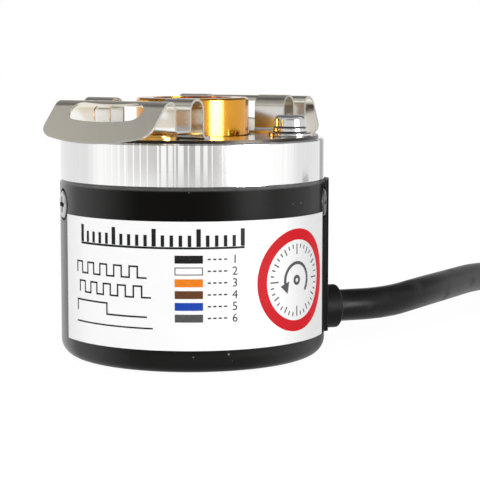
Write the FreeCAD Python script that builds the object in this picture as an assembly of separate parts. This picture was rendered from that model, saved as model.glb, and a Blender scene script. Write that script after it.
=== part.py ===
import FreeCAD, Part
import math
import os

# Hollow shaft rotary encoder. Millimetres, +Z up along the shaft, origin at the middle of the
# cover's underside. The front of the object, with the label, faces -Y.

# Housing
flange_d = 40.0
flange_rim = 6.32
flange_edge = 0.25
spigot_length = 8.48
spigot_gap = 0.1
lip = 1.6
cover_h = 26.48
cover_proud = 0.1
cover_wall = 1.8
cover_floor = 2.2
cover_round = 2.4
cover_inner_round = 1.6
cover_edge = 0.3

# Cable outlet on the cover
pad_angle = 15.0
pad_half_width = 5.0
pad_proud = 0.3
pad_foot = 2.8
pad_round = 0.7
outlet_z = 5.9

# Cover screws
cover_screw_angles = (197.0, 350.0, 93.0)
cover_screw_below_rim = 3.38
cover_head_d = 4.3
cover_head_h = 1.4
cover_head_proud = 0.2
cover_counterbore_gap = 0.25
cover_screw_wall = 0.9

# Fasteners, by thread
small_thread_d = 2.0
thread_d = 2.6
thread_gap = 0.2
thread_depth = 5.0
slot_w = 0.6
slot_depth = 0.8
recess_share = 0.56
head_round_share = 0.4

# Hollow shaft
bore_d = 12.0
bore_depth = 15.0
hub_d = 17.0
hub_rise = 6.0
hub_edge = 0.3
hub_gap = 0.4
shaft_d = 15.0
shaft_end = 1.9
disc_seat_d = 8.0
set_screw_d = 3.0
set_screw_below_top = 2.9
set_screw_angles = (60.0, 150.0)
socket_d = 1.75
socket_floor = 1.0

# Bearings
bearing_d = 24.0
bearing_w = 5.0
ball_d = 2.3
ball_count = 8
ball_gap = 0.1
groove_depth = 0.35
cage_thick = 0.6
cage_w = 2.0
shield_thick = 0.3
shield_inset = 0.1
shield_gap = 0.2
spacer_w = 1.0
spacer_wall = 0.9
circlip_w = 1.0
circlip_bite = 0.6
circlip_land = 1.0
circlip_gap_angle = 34.0
bearing_circlip_at = 90.0
shaft_circlip_at = 270.0

# Optical disc and what reads it
disc_d = 25.6
disc_thick = 0.5
disc_hub_d = 16.0
disc_hub_h = 4.3
disc_hub_fit = 0.4
track_d = 24.4
track_w = 1.6
track_thick = 0.05
disc_washer_d = 14.0
disc_washer_h = 0.8
disc_head_d = 4.8
disc_head_h = 1.4
reader_angle = 200.0
reader_w = 6.0
lamp_d = 3.0
lamp_holder_gap = 0.6
reticle_thick = 0.5
reticle_w = 5.0
reticle_gap = 0.65
sensor_h = 1.6

# Circuit board
board_gap = 0.9
board_thick = 1.6
pillar_d = 3.8
pillar_inset = 2.6
pillar_angles = (75.0, 160.0, 300.0)
stud_length = 3.0
board_head_d = 3.8
board_head_h = 1.4
header_size = (4.0, 9.0, 4.0)
header_near = 4.0
chip_size = (6.0, 5.0, 1.7)
chip_angle = 120.0
chip_ring = 8.5
capacitor_d = 4.0
capacitor_h = 4.5
capacitor_angle = 250.0

# Spring bracket: a ring on the flange and two bent leaves with slotted ears
sheet = 0.35
ring_thick = 0.4
ring_hole_d = 19.2
ring_inset = 1.0
front_leaf_angle = 235.0
rear_leaf_angle = 58.0
leaf_half = 9.7
ridge_reach = 19.0
ridge_rise = 5.9
ridge_bend = 1.0
ridge_soft_bend = 2.2
front_ear_slope = 48.0
rear_ear_slope = 64.0
ear_length = 6.5
ear_crown = 1.5
ear_corner = 2.2
ear_slot_w = 3.3
ear_slot_length = 12.8
ear_slot_down = 1.15
ear_slot_shift = 0.0
valley_rise = 1.45
valley_flat = 2.3
valley_bend = 0.7
loop_rise = 6.2
loop_bend = 1.6
foot_bend = 0.6
foot_length = 1.3
window_half = 4.6
window_round = 0.8

# Bracket fasteners
bracket_screw_inset = 4.6
bracket_screw_angles = (340.0, 160.0)
washer_d = 6.6
washer_h = 0.5
washer_round = 0.15
lock_washer_d = 5.2
lock_washer_h = 0.8
lock_washer_round = 0.25
lock_washer_gap_angle = 14.0
lock_washer_gap_at = 200.0
recess_at = 25.0
pan_head_d = 4.8
pan_head_h = 1.8
pan_foot_round = 0.2
rivet_inset = 3.7
rivet_angles = (251.0, 71.0)
rivet_head_d = 4.2
rivet_head_h = 0.5
rivet_round = 0.4
rivet_d = 1.6
rivet_washer_d = 6.2
rivet_washer_h = 0.35

# Label
label_bottom = 3.49
label_h = 18.4
label_from = 204.0
label_to = 343.0
label_thick = 0.12

# Cable, bushing, coil and leads
cable_d = 5.0
bushing_d = 6.8
bushing_neck_d = 5.9
bushing_out = 3.0
bushing_in = 3.6
bushing_round = 0.5
crimp_wall = 0.5
crimp_w = 2.0
cable_inside = 7.9
cable_bend_share = 0.45
inner_wire_d = 0.6
inner_wire_step = 0.7
coil_centre = (93.0, 54.2)
coil_mid_d = 55.0
coil_columns = 3
coil_h = 20.0
coil_round = 2.0
tie_angle = 300.0
tie_w = 4.0
tie_thick = 0.9
tail_from = 95.0
tail_to = 25.0
tail_gap = 0.2
lead_d = 1.2
lead_ring = 1.5
lead_fan_step = 1.7
lead_fan_out = 2.7
lead_slots = (5, 3, 2, 0, 1, 4)
lead_ends = (-43.0, -40.0, -42.0, -38.0, -41.0, -39.0)
tip_d = 0.6
tip_length = 3.2
lead_colours = ("black", "white", "orange", "brown", "blue", "shield")

# The cable's route outside the bushing, by hand: points that its straight runs would meet at
cable_route = (
    (31.0, 11.0, 5.8),
    (38.0, 19.4, 5.3),
    (44.3, 31.0, 4.4),
    (50.5, 43.2, 3.4),
    (57.2, 55.6, 2.7),
    (65.0, 67.6, 2.5),
)

X = FreeCAD.Vector(1, 0, 0)
Y = FreeCAD.Vector(0, 1, 0)
Z = FreeCAD.Vector(0, 0, 1)
ORIGIN = FreeCAD.Vector(0, 0, 0)

# Heights and diameters that follow from the sizes above
flange_top = cover_h + flange_rim
spigot_bottom = cover_h - spigot_length
bearing_top = flange_top - lip
bearing_bottom = bearing_top - 2 * bearing_w - spacer_w
circlip_bottom = bearing_bottom - circlip_w
hub_top = flange_top + hub_rise
shaft_bottom = circlip_bottom - circlip_land
disc_top = shaft_bottom - disc_hub_h
disc_bottom = disc_top - disc_thick
washer_bottom = disc_bottom - disc_washer_h
reticle_top = disc_bottom - reticle_gap
sensor_top = reticle_top - reticle_thick
board_top = sensor_top - sensor_h
board_bottom = board_top - board_thick
cover_screw_z = cover_h - cover_screw_below_rim
cover_r = flange_d / 2 + cover_proud
cover_inner_r = cover_r - cover_wall
pad_face = cover_r + pad_proud
cable_inner_end = pad_face - cable_inside
cover_thread_end = bearing_d / 2 + circlip_bite + cover_screw_wall
board_d = 2 * (cover_inner_r - board_gap)
pillar_ring_d = 2 * (cover_inner_r - pillar_inset)
ring_d = flange_d - 2 * ring_inset
bracket_screw_ring_d = flange_d - 2 * bracket_screw_inset
rivet_ring_d = 2 * (ridge_reach - rivet_inset)
track_mid = (track_d - track_w) / 2
pitch_r = (bearing_d + shaft_d) / 4


def at(x, y, z=0.0):
    return FreeCAD.Vector(x, y, z)


def disc(d, z0, z1):
    """A cylinder about the shaft's axis."""
    return Part.makeCylinder(d / 2, z1 - z0, at(0, 0, z0))


def ring(d_out, d_in, z0, z1):
    return disc(d_out, z0, z1).cut(disc(d_in, z0, z1))


def rod(d, start, end):
    """A cylinder from one point to another."""
    run = end - start
    return Part.makeCylinder(d / 2, run.Length, start, run)


def box(size_x, size_y, size_z, centre, z0):
    """A box with its middle over a point of the plan and its foot at a height."""
    return Part.makeBox(size_x, size_y, size_z, at(centre[0] - size_x / 2, centre[1] - size_y / 2, z0))


def turned(shape, angle):
    """A copy turned about the shaft's axis."""
    copy = shape.copy()
    copy.rotate(ORIGIN, Z, angle)
    return copy


def around(shape, angles):
    return [turned(shape, angle) for angle in angles]


def cut_all(shape, tools):
    for tool in tools:
        shape = shape.cut(tool)
    return shape


def circles_at(shape, z, d):
    """Round edges of one size that lie flat at one height."""
    found = []
    for edge in shape.Edges:
        round_edge = isinstance(edge.Curve, Part.Circle)
        if round_edge and abs(edge.Curve.Radius - d / 2) < 1e-4 and abs(edge.Curve.Center.z - z) < 1e-4:
            found.append(edge)
    return found


def upright_edges(shape, test):
    """Straight edges along Z whose middle passes a test."""
    found = []
    for edge in shape.Edges:
        if isinstance(edge.Curve, Part.Line) and abs(edge.tangentAt(edge.FirstParameter).z) > 0.999:
            if test(edge.CenterOfMass):
                found.append(edge)
    return found


def split_ring(d_out, d_in, z0, z1, gap_angle, angle):
    """A ring with a gap, as a circlip or a spring washer has."""
    whole = Part.makeCylinder(d_out / 2, z1 - z0, at(0, 0, z0), Z, 360 - gap_angle)
    return turned(whole.cut(disc(d_in, z0, z1)), angle + gap_angle / 2)


def screw(head_d, head_h, thread, length):
    """A pan-head screw with a cross recess; its head stands on z = 0 and its shank points down."""
    head = Part.makeCylinder(head_d / 2, head_h)
    head = head.makeFillet(head_h * head_round_share, circles_at(head, head_h, head_d))
    arm = head_d * recess_share
    for size_x, size_y in ((arm, slot_w), (slot_w, arm)):
        head = head.cut(box(size_x, size_y, slot_depth, (0, 0), head_h - slot_depth))
    return head.fuse(Part.makeCylinder(thread / 2, length, ORIGIN, -Z)).removeSplitter()


def moved(shape, x, y, z):
    copy = shape.copy()
    copy.translate(at(x, y, z))
    return copy


def lying_out(shape, angle, reach, z):
    """A shape that stands on +Z, laid so that it points outwards from the shaft's axis."""
    copy = shape.copy()
    copy.rotate(ORIGIN, Y, 90)
    copy.translate(at(reach, 0, z))
    return turned(copy, angle)


def ribbon(start, heading, steps, thick):
    """A bent strip's cross-section: straight runs ("run", length) and bends ("turn", radius, angle).

    The path is the strip's middle line in the XZ plane, and a positive angle turns it anticlockwise.
    """
    sides = []
    for side in (thick / 2, -thick / 2):
        angle = math.radians(heading)
        x, z = start
        point = at(x - side * math.sin(angle), 0, z + side * math.cos(angle))
        edges = []
        for step in steps:
            along = at(math.cos(angle), 0, math.sin(angle))
            if step[0] == "run":
                end = point + along * step[1]
                edges.append(Part.LineSegment(point, end).toShape())
            else:
                way = math.copysign(1, step[2])
                radius = step[1] - way * side
                left = at(-along.z, 0, along.x)
                centre = point + left * (way * radius)
                spoke = point - centre
                turn = math.radians(step[2])
                points = []
                for part in (0.5, 1.0):
                    c, s = math.cos(turn * part), math.sin(turn * part)
                    points.append(centre + at(spoke.x * c - spoke.z * s, 0, spoke.x * s + spoke.z * c))
                end = points[1]
                edges.append(Part.Arc(point, points[0], end).toShape())
                angle += turn
            point = end
        sides.append(edges)
    first, second = sides
    caps = [
        Part.LineSegment(first[0].Vertexes[0].Point, second[0].Vertexes[0].Point).toShape(),
        Part.LineSegment(first[-1].Vertexes[-1].Point, second[-1].Vertexes[-1].Point).toShape(),
    ]
    return Part.Face(Part.Wire(Part.__sortEdges__(first + second + caps)))


def arc_slot(half_length, width, bend_radius):
    """A slot in the XY plane along Y, bowed towards +X, with its middle at the origin."""
    half_angle = math.asin(half_length / bend_radius)
    inner, outer = bend_radius - width / 2, bend_radius + width / 2

    def on(radius, angle):
        return at(radius * math.cos(angle) - bend_radius, radius * math.sin(angle))

    def cap(way):
        mid = on(bend_radius, way * half_angle)
        mid += at(-math.sin(half_angle), way * math.cos(half_angle)) * (width / 2)
        return Part.Arc(on(inner, way * half_angle), mid, on(outer, way * half_angle))

    edges = [
        Part.Arc(on(outer, -half_angle), on(outer, 0), on(outer, half_angle)),
        cap(1),
        Part.Arc(on(inner, -half_angle), on(inner, 0), on(inner, half_angle)),
        cap(-1),
    ]
    return Part.Face(Part.Wire(Part.__sortEdges__([edge.toShape() for edge in edges])))


def make_flange():
    rim = disc(flange_d, cover_h, flange_top)
    edges = circles_at(rim, cover_h, flange_d) + circles_at(rim, flange_top, flange_d)
    body = rim.makeChamfer(flange_edge, edges)
    body = body.fuse(disc(2 * (cover_inner_r - spigot_gap), spigot_bottom, cover_h)).removeSplitter()
    tools = [
        disc(hub_d + 2 * hub_gap, spigot_bottom, flange_top),
        disc(bearing_d, spigot_bottom, bearing_top),
        disc(bearing_d + 2 * circlip_bite, circlip_bottom, bearing_bottom),
    ]
    hole = Part.makeCylinder(small_thread_d / 2, cover_inner_r)
    hole = lying_out(hole, 0, cover_thread_end, cover_screw_z)
    tools += around(hole, cover_screw_angles)
    hole = rod(thread_d, at(bracket_screw_ring_d / 2, 0, flange_top - thread_depth),
               at(bracket_screw_ring_d / 2, 0, flange_top))
    tools += around(hole, bracket_screw_angles)
    hole = rod(rivet_d, at(rivet_ring_d / 2, 0, flange_top - thread_depth / 2),
               at(rivet_ring_d / 2, 0, flange_top))
    tools += around(hole, rivet_angles)
    hole = rod(small_thread_d, at(pillar_ring_d / 2, 0, spigot_bottom),
               at(pillar_ring_d / 2, 0, spigot_bottom + stud_length))
    tools += around(hole, pillar_angles)
    return cut_all(body, tools)


def make_cover():
    cup = disc(2 * cover_r, 0, cover_h)
    pad = box(pad_face - cover_inner_r, 2 * pad_half_width, cover_h - pad_foot,
              ((pad_face + cover_inner_r) / 2, 0), pad_foot)
    pad = pad.makeFillet(pad_round, upright_edges(pad, lambda point: point.x > cover_r))
    cup = cup.makeFillet(cover_round, circles_at(cup, 0, 2 * cover_r))
    cup = cup.makeChamfer(cover_edge, circles_at(cup, cover_h, 2 * cover_r))
    hollow = disc(2 * cover_inner_r, cover_floor, cover_h)
    hollow = hollow.makeFillet(cover_inner_round, circles_at(hollow, cover_floor, 2 * cover_inner_r))
    body = cup.fuse(turned(pad, pad_angle)).removeSplitter().cut(hollow)
    outlet = Part.makeCylinder(bushing_neck_d / 2, pad_face)
    outlet = lying_out(outlet, pad_angle, cable_inner_end, outlet_z)
    body = body.cut(outlet)
    seat = cover_r + cover_head_proud - cover_head_h
    bore = lying_out(Part.makeCylinder(cover_head_d / 2 + cover_counterbore_gap, cover_head_h),
                     0, seat, cover_screw_z)
    hole = lying_out(Part.makeCylinder((small_thread_d + thread_gap) / 2, 2 * cover_wall),
                     0, cover_inner_r - cover_wall, cover_screw_z)
    return cut_all(body, around(bore, cover_screw_angles) + around(hole, cover_screw_angles))


def make_cover_screws():
    seat = cover_r + cover_head_proud - cover_head_h
    one = screw(cover_head_d, cover_head_h, small_thread_d, seat - cover_thread_end)
    one = lying_out(one, 0, seat, cover_screw_z)
    return around(one, cover_screw_angles)


def make_label():
    span = label_to - label_from
    outer = Part.makeCylinder(cover_r + label_thick, label_h, at(0, 0, label_bottom), Z, span)
    inner = Part.makeCylinder(cover_r, label_h, at(0, 0, label_bottom))
    return turned(outer.cut(inner), label_from)


def make_shaft():
    hub = disc(hub_d, bearing_top, hub_top)
    hub = hub.makeChamfer(hub_edge, circles_at(hub, hub_top, hub_d))
    body = hub.fuse(disc(shaft_d, shaft_bottom, bearing_top))
    body = body.fuse(disc(disc_seat_d, disc_top - disc_hub_fit, shaft_bottom)).removeSplitter()
    bore = disc(bore_d, hub_top - bore_depth, hub_top)
    groove = ring(shaft_d, shaft_d - 2 * circlip_bite, circlip_bottom, bearing_bottom)
    tap = disc(thread_d, disc_top - disc_hub_fit, disc_top - disc_hub_fit + thread_depth)
    hole = lying_out(Part.makeCylinder(set_screw_d / 2, hub_d), 0, 0, hub_top - set_screw_below_top)
    return cut_all(body, [bore, groove, tap] + around(hole, set_screw_angles))


def make_set_screws():
    length = (hub_d - bore_d) / 2
    grub = Part.makeCylinder(set_screw_d / 2, length)
    corners = around(Part.Vertex(socket_d / 2, 0, socket_floor), [60 * i for i in range(7)])
    hexagon = Part.Face(Part.makePolygon([corner.Point for corner in corners]))
    grub = grub.cut(hexagon.extrude(Z * length))
    barrel = disc(hub_d, bearing_top, hub_top).cut(disc(bore_d, bearing_top, hub_top))
    placed = lying_out(grub, 0, bore_d / 2, hub_top - set_screw_below_top).common(barrel)
    return around(placed, set_screw_angles)


def make_bearing(z0):
    """A deep-groove bearing standing at a height: its inner ring, outer ring, shields and ball row."""
    z1 = z0 + bearing_w
    middle = (z0 + z1) / 2
    track_r = ball_d / 2 + ball_gap
    groove = Part.makeTorus(pitch_r, track_r, at(0, 0, middle))
    inner_d = 2 * (pitch_r - track_r + groove_depth)
    outer_d = 2 * (pitch_r + track_r - groove_depth)
    inner = ring(inner_d, shaft_d, z0, z1).cut(groove)
    outer = ring(bearing_d, outer_d, z0, z1).cut(groove)
    shields = []
    for low in (z0 + shield_inset, z1 - shield_inset - shield_thick):
        shields.append(ring(outer_d, inner_d + 2 * shield_gap, low, low + shield_thick))
    ball = Part.makeSphere(ball_d / 2, at(pitch_r, 0, middle))
    angles = [360.0 * i / ball_count for i in range(ball_count)]
    balls = around(ball, angles)
    cage = ring(2 * pitch_r + cage_thick, 2 * pitch_r - cage_thick,
                middle - cage_w / 2, middle + cage_w / 2)
    cage = cut_all(cage, balls)
    return inner, outer, shields, balls, cage


def make_code_disc():
    plate = ring(disc_d, disc_seat_d, disc_bottom, disc_top)
    film = ring(track_d, track_d - 2 * track_w, disc_bottom - track_thick, disc_bottom)
    hub = ring(disc_hub_d, disc_seat_d, disc_top, shaft_bottom)
    washer = ring(disc_washer_d, thread_d + thread_gap, washer_bottom, disc_bottom)
    thread_end = disc_top - disc_hub_fit + thread_depth
    bolt = screw(disc_head_d, disc_head_h, thread_d, thread_end - washer_bottom)
    bolt.rotate(ORIGIN, X, 180)
    return plate, film, hub, washer, moved(bolt, 0, 0, washer_bottom)


def make_reader():
    """The light source above the code track, and the mask and detector below it."""
    reach = track_mid
    holder = box(reader_w, reader_w, spigot_bottom - disc_top - lamp_holder_gap, (reach, 0),
                 disc_top + lamp_holder_gap)
    bulb = Part.makeCylinder(lamp_d / 2, lamp_d, at(reach, 0, disc_top + lamp_holder_gap))
    mask = box(reticle_w, reticle_w, reticle_thick, (reach, 0), sensor_top)
    detector = box(reader_w, reader_w, sensor_h, (reach, 0), board_top)
    return [turned(shape, reader_angle) for shape in (holder.cut(bulb), bulb, mask, detector)]


def make_board():
    plate = disc(board_d, board_bottom, board_top)
    hole = rod(small_thread_d + thread_gap, at(pillar_ring_d / 2, 0, board_bottom),
               at(pillar_ring_d / 2, 0, board_top))
    return cut_all(plate, around(hole, pillar_angles))


def make_pillars():
    place = pillar_ring_d / 2
    one = rod(pillar_d, at(place, 0, board_top), at(place, 0, spigot_bottom))
    stud = rod(small_thread_d, at(place, 0, spigot_bottom), at(place, 0, spigot_bottom + stud_length))
    tapped = rod(small_thread_d, at(place, 0, board_top), at(place, 0, board_top + stud_length))
    one = one.fuse(stud).cut(tapped)
    return around(one.removeSplitter(), pillar_angles)


def make_board_screws():
    one = screw(board_head_d, board_head_h, small_thread_d, board_thick + stud_length)
    one.rotate(ORIGIN, X, 180)
    return around(moved(one, pillar_ring_d / 2, 0, board_bottom), pillar_angles)


def make_bracket_ring():
    plate = ring(ring_d, ring_hole_d, flange_top, flange_top + ring_thick)
    hole = rod(thread_d + thread_gap, at(bracket_screw_ring_d / 2, 0, flange_top),
               at(bracket_screw_ring_d / 2, 0, flange_top + ring_thick))
    rivet_hole = rod(rivet_d, at(rivet_ring_d / 2, 0, flange_top),
                     at(rivet_ring_d / 2, 0, flange_top + ring_thick))
    return cut_all(plate, around(hole, bracket_screw_angles) + around(rivet_hole, rivet_angles))


def make_leaf(ear_slope):
    """One spring leaf, reaching out along +X: ear, ridge, inner leg, valley and two loops with feet."""
    half = sheet / 2
    ridge_z = flange_top + ridge_rise - half - ridge_bend
    tilt = math.radians(ear_slope)
    soft_z = ridge_z + ridge_bend - ridge_soft_bend
    bend_end = at(ridge_reach + ridge_soft_bend * math.sin(tilt), 0, soft_z + ridge_soft_bend * math.cos(tilt))
    slope = at(math.cos(tilt), 0, -math.sin(tilt))
    edge = bend_end + slope * ear_length
    valley_z = flange_top + valley_rise + half
    loop_z = flange_top + loop_rise - half - loop_bend
    foot_z = flange_top + ring_thick + half
    steps = [
        ("run", ear_length),
        ("turn", ridge_soft_bend, ear_slope),
        ("turn", ridge_bend, 90),
        ("run", ridge_z - valley_z - valley_bend),
        ("turn", valley_bend, -90),
        ("run", valley_flat),
        ("turn", valley_bend, -90),
        ("run", loop_z - valley_z - valley_bend),
        ("turn", loop_bend, 180),
        ("run", loop_z - foot_z - foot_bend),
        ("turn", foot_bend, -90),
        ("run", foot_length),
    ]
    section = ribbon((edge.x, edge.z), 180 - ear_slope, steps, sheet)
    leaf = moved(section, 0, -leaf_half, 0).extrude(Y * (2 * leaf_half))

    # The ear's outline and slot are drawn flat on its slope, then pushed through it.
    def on_slope(face):
        prism = moved(face.extrude(Z * (2 * ridge_bend)), 0, 0, -ridge_bend)
        prism.rotate(ORIGIN, Y, ear_slope)
        return moved(prism, bend_end.x, 0, bend_end.z)

    corner = ear_length - ear_crown
    wide = leaf_half + sheet
    far = ear_length + ridge_bend
    bottom = Part.Arc(at(corner, -leaf_half), at(ear_length, 0), at(corner, leaf_half)).toShape()
    outline = [at(corner, leaf_half), at(corner, wide), at(far, wide),
               at(far, -wide), at(corner, -wide), at(corner, -leaf_half)]
    waste = Part.Face(Part.Wire([bottom] + Part.makePolygon(outline).Edges))
    leaf = leaf.cut(on_slope(waste))
    slot = arc_slot((ear_slot_length - ear_slot_w) / 2, ear_slot_w, bow_radius(leaf_half, ear_crown))
    leaf = leaf.cut(on_slope(moved(slot, ear_slot_down, ear_slot_shift, 0)))

    # A window between the two strips, from the feet to just under the ridge.
    window_out = ridge_reach - ridge_bend + sheet
    window_top = ridge_z + sheet
    window = box(window_out, 2 * window_half, window_top - flange_top, (window_out / 2, 0), flange_top)
    top_rims = [rim for rim in window.Edges
                if rim.CenterOfMass.z > window_top - sheet and abs(rim.tangentAt(0).x) > 0.999]
    window = window.makeFillet(window_round, top_rims)
    loop_side = ridge_reach - ridge_bend - valley_bend
    between_loops = box(loop_side, 2 * window_half, loop_rise, (loop_side / 2, 0), flange_top)
    leaf = cut_all(leaf, [window, between_loops])
    tips = []
    for candidate in leaf.Edges:
        middle = candidate.CenterOfMass
        on_ear = middle.x > bend_end.x + slope.x * ear_slot_down
        if on_ear and abs(candidate.Length - sheet) < 1e-4 and abs(middle.y) > leaf_half - sheet:
            tips.append(candidate)
    return leaf.makeFillet(ear_corner, tips)


def bow_radius(half_chord, rise):
    return (half_chord ** 2 + rise ** 2) / (2 * rise)


def make_bracket_fasteners():
    """Flat washers, split lock washers, screws and rivets, from the ring upwards."""
    place = bracket_screw_ring_d / 2
    z0 = flange_top + ring_thick
    z1 = z0 + washer_h
    z2 = z1 + lock_washer_h
    hole_d = thread_d + thread_gap
    washer = ring(washer_d, hole_d, z0, z1)
    washer = washer.makeFillet(washer_round, circles_at(washer, z0, washer_d) + circles_at(washer, z1, washer_d))
    washer = moved(washer, place, 0, 0)
    lock = split_ring(lock_washer_d, hole_d, z1, z2, lock_washer_gap_angle, lock_washer_gap_at)
    lock_rims = circles_at(lock, z1, lock_washer_d) + circles_at(lock, z2, lock_washer_d)
    lock = moved(lock.makeFillet(lock_washer_round, lock_rims), place, 0, 0)
    bolt = screw(pan_head_d, pan_head_h, thread_d, z2 - (flange_top - thread_depth))
    bolt = bolt.makeFillet(pan_foot_round, circles_at(bolt, 0, pan_head_d))
    bolt = moved(turned(bolt, recess_at), place, 0, z2)
    foot = at(rivet_ring_d / 2, 0, z0)
    head_z = z0 + rivet_washer_h
    shank = rod(rivet_d, at(foot.x, 0, flange_top - thread_depth / 2), foot)
    collar = Part.makeCylinder(rivet_washer_d / 2, rivet_washer_h, foot)
    head = Part.makeCylinder(rivet_head_d / 2, rivet_head_h, at(foot.x, 0, head_z))
    head = head.makeFillet(rivet_round, [edge for edge in head.Edges
                                  if abs(edge.CenterOfMass.z - head_z - rivet_head_h) < 1e-4])
    rivet = head.fuse(collar).fuse(shank).removeSplitter()
    return (around(washer, bracket_screw_angles), around(lock, bracket_screw_angles),
            around(bolt, bracket_screw_angles), around(rivet, rivet_angles))


def make_bushing():
    """The rubber bushing in the cable pad, laid along +X before it is turned to the pad."""
    head = Part.makeCylinder(bushing_d / 2, bushing_out)
    head = head.makeFillet(bushing_round, circles_at(head, bushing_out, bushing_d))
    body = head.fuse(Part.makeCylinder(bushing_neck_d / 2, bushing_in, ORIGIN, -Z)).removeSplitter()
    body = body.cut(Part.makeCylinder(cable_d / 2, bushing_in + bushing_out, at(0, 0, -bushing_in)))
    return lying_out(body, pad_angle, pad_face, outlet_z)


def make_crimp():
    wall = ring(cable_d + 2 * crimp_wall, cable_d, 0, crimp_w)
    return lying_out(wall, pad_angle, cable_inner_end + crimp_w / 2, outlet_z)


def tube(points, d):
    """A round tube along straight runs joined by arcs as large as the runs allow."""
    edges = []
    radii = []
    start = points[0]
    for before, corner, after in zip(points, points[1:], points[2:]):
        back = before - corner
        ahead = after - corner
        run = min(back.Length, ahead.Length)
        turn = math.pi - back.getAngle(ahead)
        reach = cable_bend_share * run
        radius = reach / math.tan(turn / 2)
        back.normalize()
        ahead.normalize()
        first = corner + back * reach
        last = corner + ahead * reach
        inward = back + ahead
        inward.normalize()
        middle = corner + inward * (radius / math.cos(turn / 2) - radius)
        edges.append(Part.LineSegment(start, first).toShape())
        edges.append(Part.Arc(first, middle, last).toShape())
        radii.append(radius)
        start = last
    edges.append(Part.LineSegment(start, points[-1]).toShape())
    path = Part.Wire(edges)
    section = Part.Wire(Part.makeCircle(d / 2, points[0], points[1] - points[0]))
    solid = path.makePipeShell([section], True, False)
    expected = math.pi * d * d / 4 * path.Length
    print("cable radii", [round(radius, 1) for radius in radii], "length", round(path.Length, 1))
    print("cable volume", round(solid.Volume, 1), "section times length", round(expected, 1))
    return solid


def make_cable():
    way = math.radians(pad_angle)
    out = at(math.cos(way), math.sin(way))
    start = out * cable_inner_end + Z * outlet_z
    exit_point = out * (pad_face + bushing_out) + Z * outlet_z
    return tube([start, exit_point] + [at(*point) for point in cable_route], cable_d)


def coil_arc(d, reach, z, first, last):
    """A round bar bent about the coil's axis, from one angle to another."""
    section = Part.Face(Part.Wire(Part.makeCircle(d / 2, at(reach, 0, z), Y)))
    bar = turned(section.revolve(ORIGIN, Z, last - first), first)
    return moved(bar, coil_centre[0], coil_centre[1], 0)


def make_coil():
    """The put-away length of cable as one ring, and the tie let into its surface."""
    half = coil_columns * cable_d / 2
    inner, outer = coil_mid_d / 2 - half, coil_mid_d / 2 + half
    body = ring(2 * outer, 2 * inner, 0, coil_h)
    rims = []
    for z in (0, coil_h):
        rims += circles_at(body, z, 2 * outer) + circles_at(body, z, 2 * inner)
    body = body.makeFillet(coil_round, rims)
    slab = box(2 * outer, tie_w, coil_h, (outer, 0), 0)
    core = box(outer - inner - 2 * tie_thick, tie_w, coil_h - 2 * tie_thick,
               (coil_mid_d / 2, 0), tie_thick)
    band = body.common(slab).cut(core)
    body = turned(body.cut(band), tie_angle)
    return [moved(shape, coil_centre[0], coil_centre[1], 0) for shape in (body, turned(band, tie_angle))]


def make_tail():
    """The cable's loose end beside the coil, and the leads that come out of it."""
    reach = coil_mid_d / 2 + coil_columns * cable_d / 2 + tail_gap + cable_d / 2
    jacket = coil_arc(cable_d, reach, cable_d / 2, tail_to, tail_from)
    leads = [make_lead(reach, i) for i in range(len(lead_colours))]
    return jacket, leads


def make_lead(reach, i):
    """A lead that leaves the jacket's end, sinks to the table and fans out, with a bare tip."""
    turn = 2 * math.pi * i / len(lead_colours)
    out, up = lead_ring * math.cos(turn), lead_ring * math.sin(turn)
    fan = (lead_slots[i] - (len(lead_colours) - 1) / 2) * lead_fan_step + lead_fan_out
    flat = lead_d / 2
    end = lead_ends[i]

    def beside(angle, share, rise):
        way = math.radians(angle)
        r = reach + out + (fan - out) * share
        return at(coil_centre[0] + r * math.cos(way), coil_centre[1] + r * math.sin(way), rise)

    top = cable_d / 2 + up
    run = tail_to - end
    way = math.radians(tail_to)
    start = beside(tail_to, 0, top)
    straight = at(math.sin(way), -math.cos(way)) * (2 * lead_d + lead_ring)
    poles = [start, start + straight,
             beside(tail_to - run * 0.26, 0.6, flat + (top - flat) * 0.7),
             beside(tail_to - run * 0.48, 0.95, flat + (top - flat) * 0.2),
             beside(tail_to - run * 0.74, 1, flat), beside(end, 1, flat)]
    line = Part.BSplineCurve()
    line.buildFromPolesMultsKnots(poles, [3, 1, 1, 1, 3], [0, 1, 2, 3, 4], False, 2)
    path = Part.Wire(line.toShape())
    section = Part.Wire(Part.makeCircle(lead_d / 2, poles[0], poles[1] - poles[0]))
    wire = path.makePipeShell([section], True, False)
    last = poles[-1] - poles[-2]
    last.normalize()
    tip = rod(tip_d, poles[-1] - last * lead_d, poles[-1] + last * tip_length)
    return wire.fuse(tip).removeSplitter()


def make_wiring():
    """The plug-on header under the board, and the wires from the cable's inner end to it."""
    deep, wide, high = header_size
    header = box(deep, wide, high, (header_near + deep / 2, 0), board_bottom - high)
    wires = []
    count = len(lead_colours)
    for i in range(count):
        offset = (i - (count - 1) / 2) * inner_wire_step
        wires.append(rod(inner_wire_d, at(header_near + deep, offset, outlet_z),
                         at(cable_inner_end, offset, outlet_z)))
    return turned(header, pad_angle), [turned(wire, pad_angle) for wire in wires]


def export(name, shapes):
    if not isinstance(shapes, (list, tuple)):
        shapes = [shapes]
    solids = []
    for shape in shapes:
        solids += shape.Solids
    for solid in solids:
        if not solid.isValid():
            print("invalid solid in", name)
    whole = solids[0] if len(solids) == 1 else Part.makeCompound(solids)
    whole.exportStep("parts/" + name + ".step")


os.makedirs("parts", exist_ok=True)

export("flange", make_flange())
export("rear_cover", make_cover())
export("cover_screws", make_cover_screws())
export("label_plate", make_label())
export("hollow_shaft", make_shaft())
export("set_screws", make_set_screws())

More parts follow.
